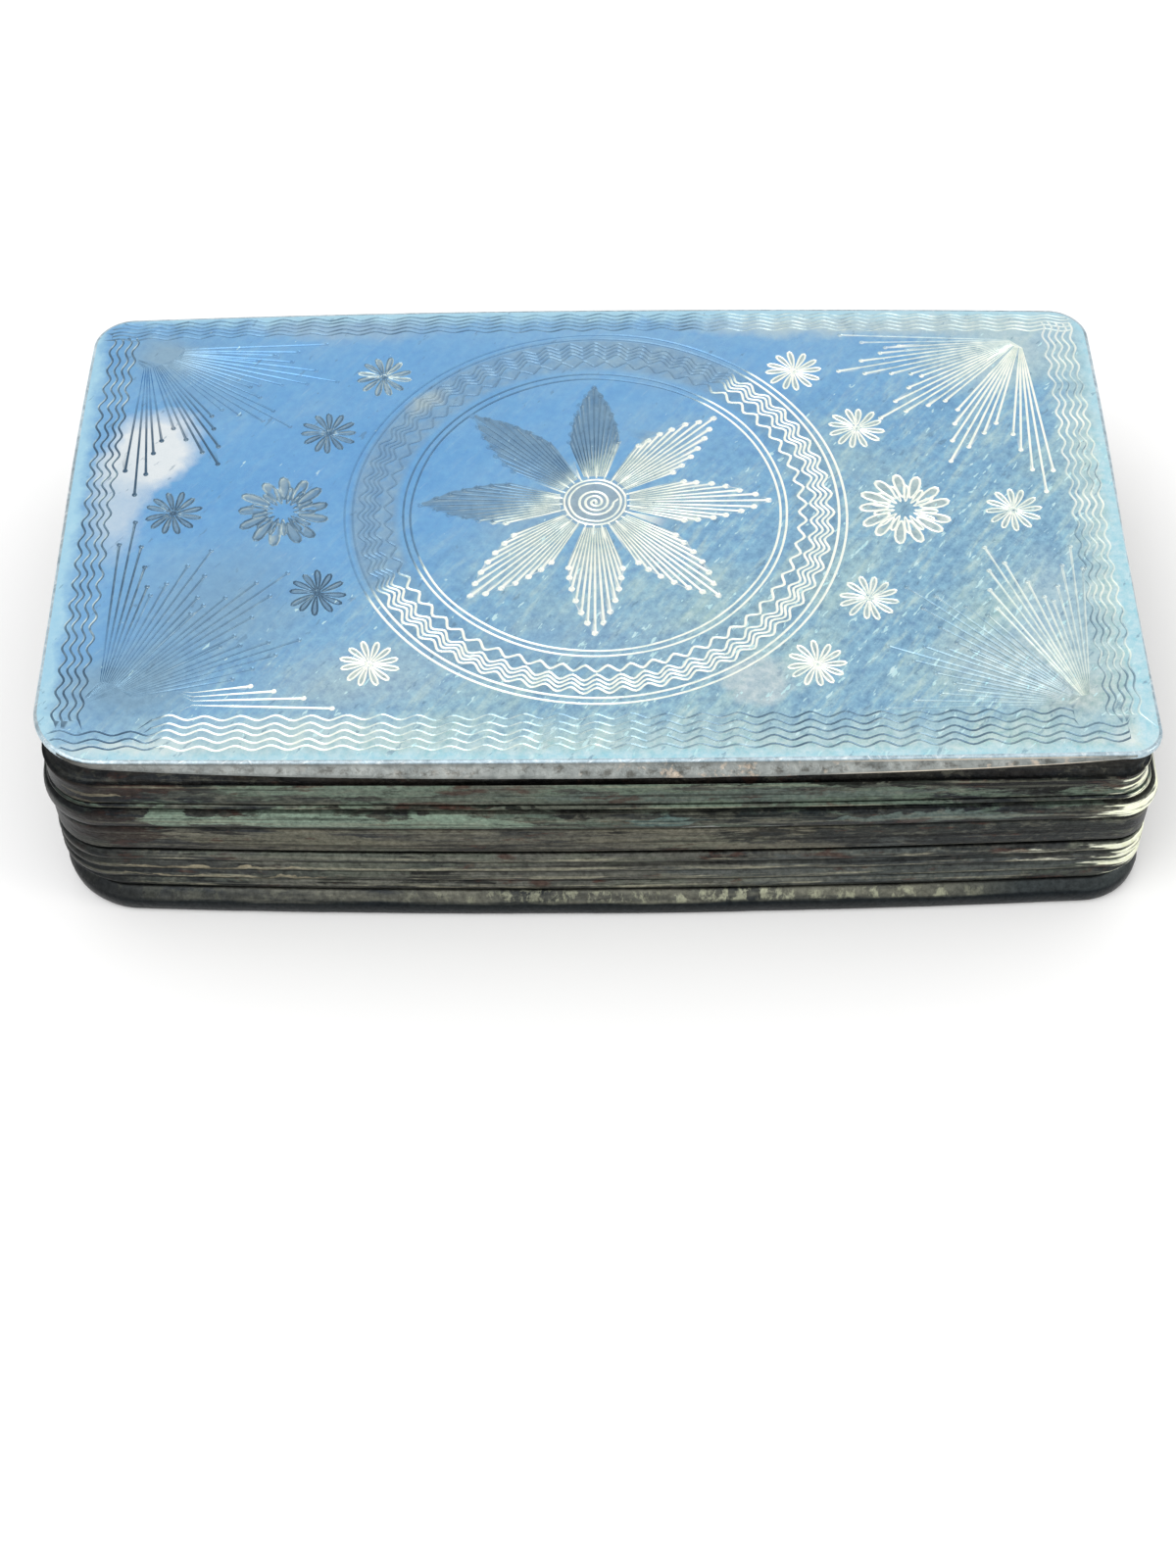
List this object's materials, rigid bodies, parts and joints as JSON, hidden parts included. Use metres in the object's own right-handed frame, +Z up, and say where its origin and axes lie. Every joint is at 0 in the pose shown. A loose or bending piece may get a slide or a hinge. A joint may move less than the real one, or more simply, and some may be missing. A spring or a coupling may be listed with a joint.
{
  "type": "snuff box",
  "caption": "Flat rectangular metal snuff box with bowed reeded sides, an engraved lid with a thumb lip, and a knuckle hinge along the back.",
  "frame": {"origin": "centre of the bounding box at the level of the table, under the base plate", "axes": "+X to the right along the front, +Y from the thumb lip to the hinge, +Z up through the lid"},
  "size_m": [0.0828, 0.0494, 0.0172],
  "materials": {
    "engraved_silver": "polished silver with bright-cut engraving, lightly clouded",
    "silver": "worn polished silver",
    "dark_silver": "tarnished silver, bright on the crests",
    "gilt": "worn gilding",
    "pin_metal": "drawn wire"
  },
  "bodies": {
    "base": {"base_plate": "dark_silver", "foot_rim": "dark_silver", "body_side_band": "dark_silver", "bezel_liner": "gilt", "body_hinge_bearer": "silver", "body_knuckle_1": "silver", "body_knuckle_2": "silver", "body_knuckle_3": "silver", "body_knuckle_4": "silver", "hinge_pin": "pin_metal", "pin_plug_left": "silver", "pin_plug_right": "silver"},
    "lid": {"lid_plate": "engraved_silver", "lid_side_band": "dark_silver", "lid_bead": "dark_silver", "thumb_lip": "silver", "lid_hinge_bearer": "silver", "lid_knuckle_1": "silver", "lid_knuckle_2": "silver", "lid_knuckle_3": "silver"}
  },
  "joints": [
    {"name": "lid_hinge", "type": "hinge", "parent": "base", "child": "lid", "pos_m": [0, 0.0236, 0.01015], "axis": [-1, 0, 0], "range_deg": [0, 105]}
  ]
}
